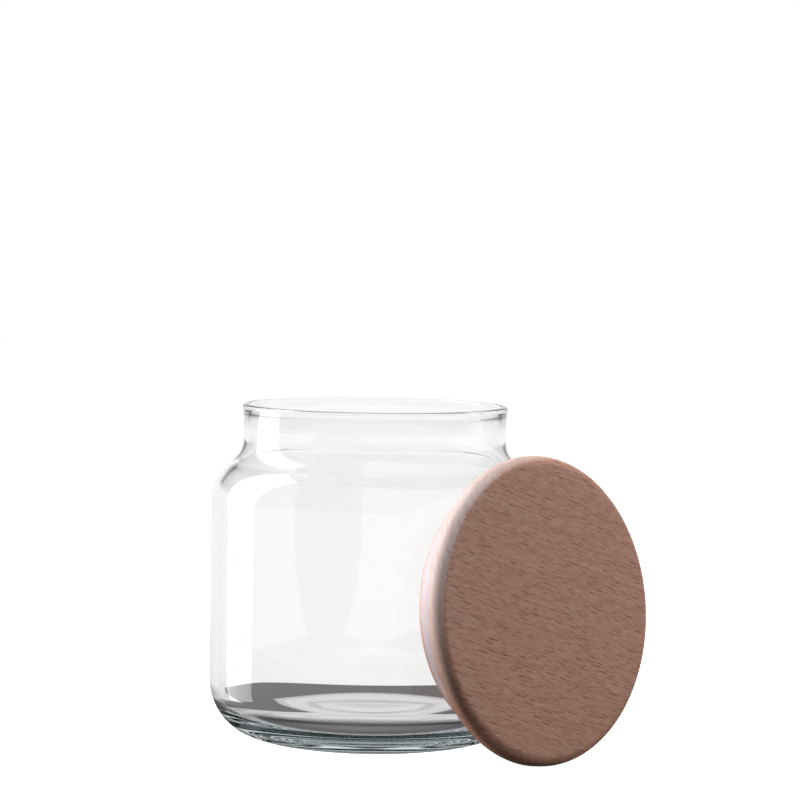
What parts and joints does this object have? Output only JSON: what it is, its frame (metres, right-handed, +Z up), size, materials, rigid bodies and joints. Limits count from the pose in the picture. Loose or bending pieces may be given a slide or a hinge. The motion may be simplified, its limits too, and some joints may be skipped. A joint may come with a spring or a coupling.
{
  "type": "glass storage jar with wooden lid",
  "caption": "Squat round glass jar with a short neck, and a turned beech lid with a silicone seal, taken off and leaning on the jar.",
  "frame": {"origin": "on the jar's axis, at the flat underside that it stands on", "axes": "+Z up along the jar's axis out of its mouth; the lid leans on the jar at the +X -Y side"},
  "size_m": [0.1327, 0.128, 0.1014],
  "materials": {
    "clear_glass": "clear, smooth, fire-polished",
    "beech": "fine sanded and oiled beech, satin",
    "silicone": "translucent pale silicone, matt"
  },
  "bodies": {
    "jar": {"glass_jar": "clear_glass"},
    "lid": {"wood_lid": "beech", "seal_ring": "silicone"}
  },
  "joints": [
    {"name": "lid_lift", "type": "slide", "parent": "jar", "child": "lid", "axis": [0, 0, 1], "range_m": [0, 0.13]}
  ]
}
